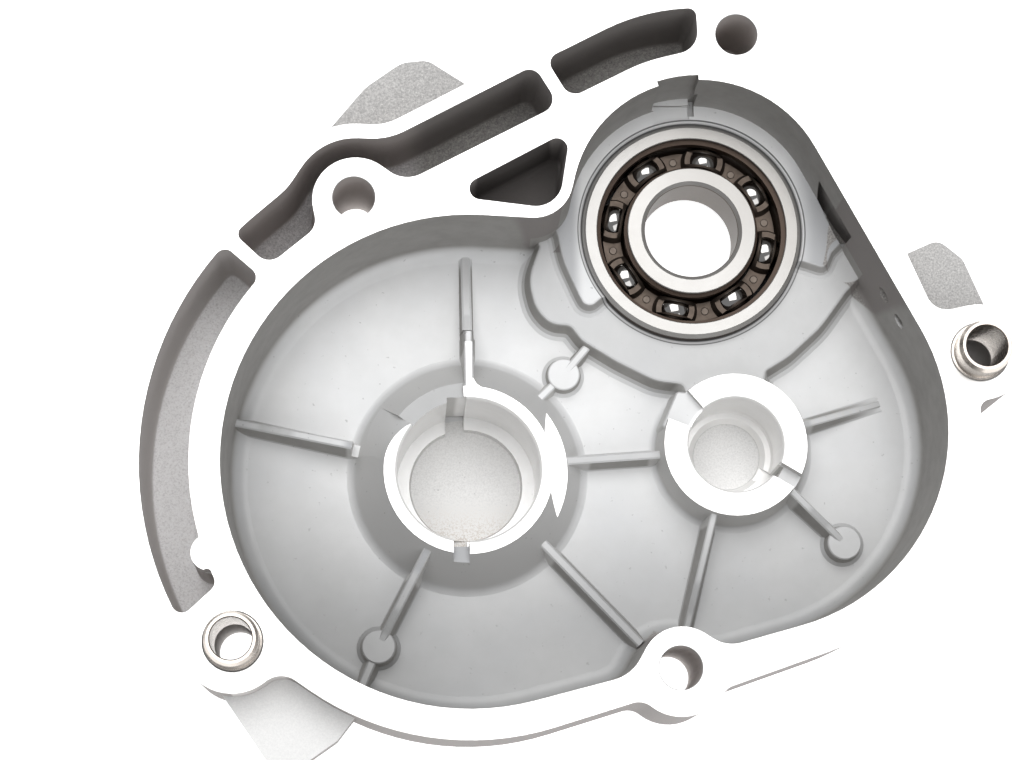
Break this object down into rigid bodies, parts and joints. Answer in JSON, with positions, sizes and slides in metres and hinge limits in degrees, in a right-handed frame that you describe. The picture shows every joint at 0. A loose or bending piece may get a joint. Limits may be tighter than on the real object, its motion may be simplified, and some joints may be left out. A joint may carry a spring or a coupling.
{
  "type": "die cast housing",
  "caption": "Die cast aluminium gear case cover, open side up, with a fitted deep groove ball bearing, two bearing seats and two hollow dowels.",
  "frame": {"origin": "on the output bearing's axis, halfway through the bearing's width", "axes": "+Z along the bearing axis, out of the open side and square to the machined joint face; +X towards the side with the right dowel; +Y towards the side with the output bearing"},
  "size_m": [0.1852, 0.162, 0.0514],
  "materials": {
    "cast": "cast and machined, satin",
    "bearing_steel": "ground",
    "ball_steel": "polished",
    "cage_steel": "pressed, dull",
    "dowel_steel": "turned"
  },
  "bodies": {
    "case": {"housing": "cast", "bearing_outer_ring": "bearing_steel", "dowel_left": "dowel_steel", "dowel_right": "dowel_steel"},
    "inner": {"bearing_inner_ring": "bearing_steel"},
    "cage": {"cage_front": "cage_steel", "cage_back": "cage_steel", "cage_rivets": "cage_steel"},
    "ball_body_1": {"ball_1": "ball_steel"},
    "ball_body_2": {"ball_2": "ball_steel"},
    "ball_body_3": {"ball_3": "ball_steel"},
    "ball_body_4": {"ball_4": "ball_steel"},
    "ball_body_5": {"ball_5": "ball_steel"},
    "ball_body_6": {"ball_6": "ball_steel"},
    "ball_body_7": {"ball_7": "ball_steel"},
    "ball_body_8": {"ball_8": "ball_steel"}
  },
  "joints": [
    {"name": "shaft_spin", "type": "hinge", "parent": "case", "child": "inner", "pos_m": [0, 0, 0], "axis": [0, 0, 1], "continuous": true},
    {"name": "cage_spin", "type": "hinge", "parent": "case", "child": "cage", "pos_m": [0, 0, 0], "axis": [0, 0, 1], "continuous": true},
    {"name": "ball_spin_1", "type": "hinge", "parent": "cage", "child": "ball_body_1", "pos_m": [0.014, 0.0092, 0], "axis": [0, 0, 1], "continuous": true},
    {"name": "ball_spin_2", "type": "hinge", "parent": "cage", "child": "ball_body_2", "pos_m": [0.0034, 0.0164, 0], "axis": [0, 0, 1], "continuous": true},
    {"name": "ball_spin_3", "type": "hinge", "parent": "cage", "child": "ball_body_3", "pos_m": [-0.0092, 0.014, 0], "axis": [0, 0, 1], "continuous": true},
    {"name": "ball_spin_4", "type": "hinge", "parent": "cage", "child": "ball_body_4", "pos_m": [-0.0164, 0.0034, 0], "axis": [0, 0, 1], "continuous": true},
    {"name": "ball_spin_5", "type": "hinge", "parent": "cage", "child": "ball_body_5", "pos_m": [-0.014, -0.0092, 0], "axis": [0, 0, 1], "continuous": true},
    {"name": "ball_spin_6", "type": "hinge", "parent": "cage", "child": "ball_body_6", "pos_m": [-0.0034, -0.0164, 0], "axis": [0, 0, 1], "continuous": true},
    {"name": "ball_spin_7", "type": "hinge", "parent": "cage", "child": "ball_body_7", "pos_m": [0.0092, -0.014, 0], "axis": [0, 0, 1], "continuous": true},
    {"name": "ball_spin_8", "type": "hinge", "parent": "cage", "child": "ball_body_8", "pos_m": [0.0164, -0.0034, 0], "axis": [0, 0, 1], "continuous": true}
  ],
  "couplings": [
    {"joint": "cage_spin", "follows": "shaft_spin", "ratio": 0.3815},
    {"joint": "ball_spin_1", "follows": "shaft_spin", "ratio": -1.9898},
    {"joint": "ball_spin_2", "follows": "shaft_spin", "ratio": -1.9898},
    {"joint": "ball_spin_3", "follows": "shaft_spin", "ratio": -1.9898},
    {"joint": "ball_spin_4", "follows": "shaft_spin", "ratio": -1.9898},
    {"joint": "ball_spin_5", "follows": "shaft_spin", "ratio": -1.9898},
    {"joint": "ball_spin_6", "follows": "shaft_spin", "ratio": -1.9898},
    {"joint": "ball_spin_7", "follows": "shaft_spin", "ratio": -1.9898},
    {"joint": "ball_spin_8", "follows": "shaft_spin", "ratio": -1.9898}
  ]
}
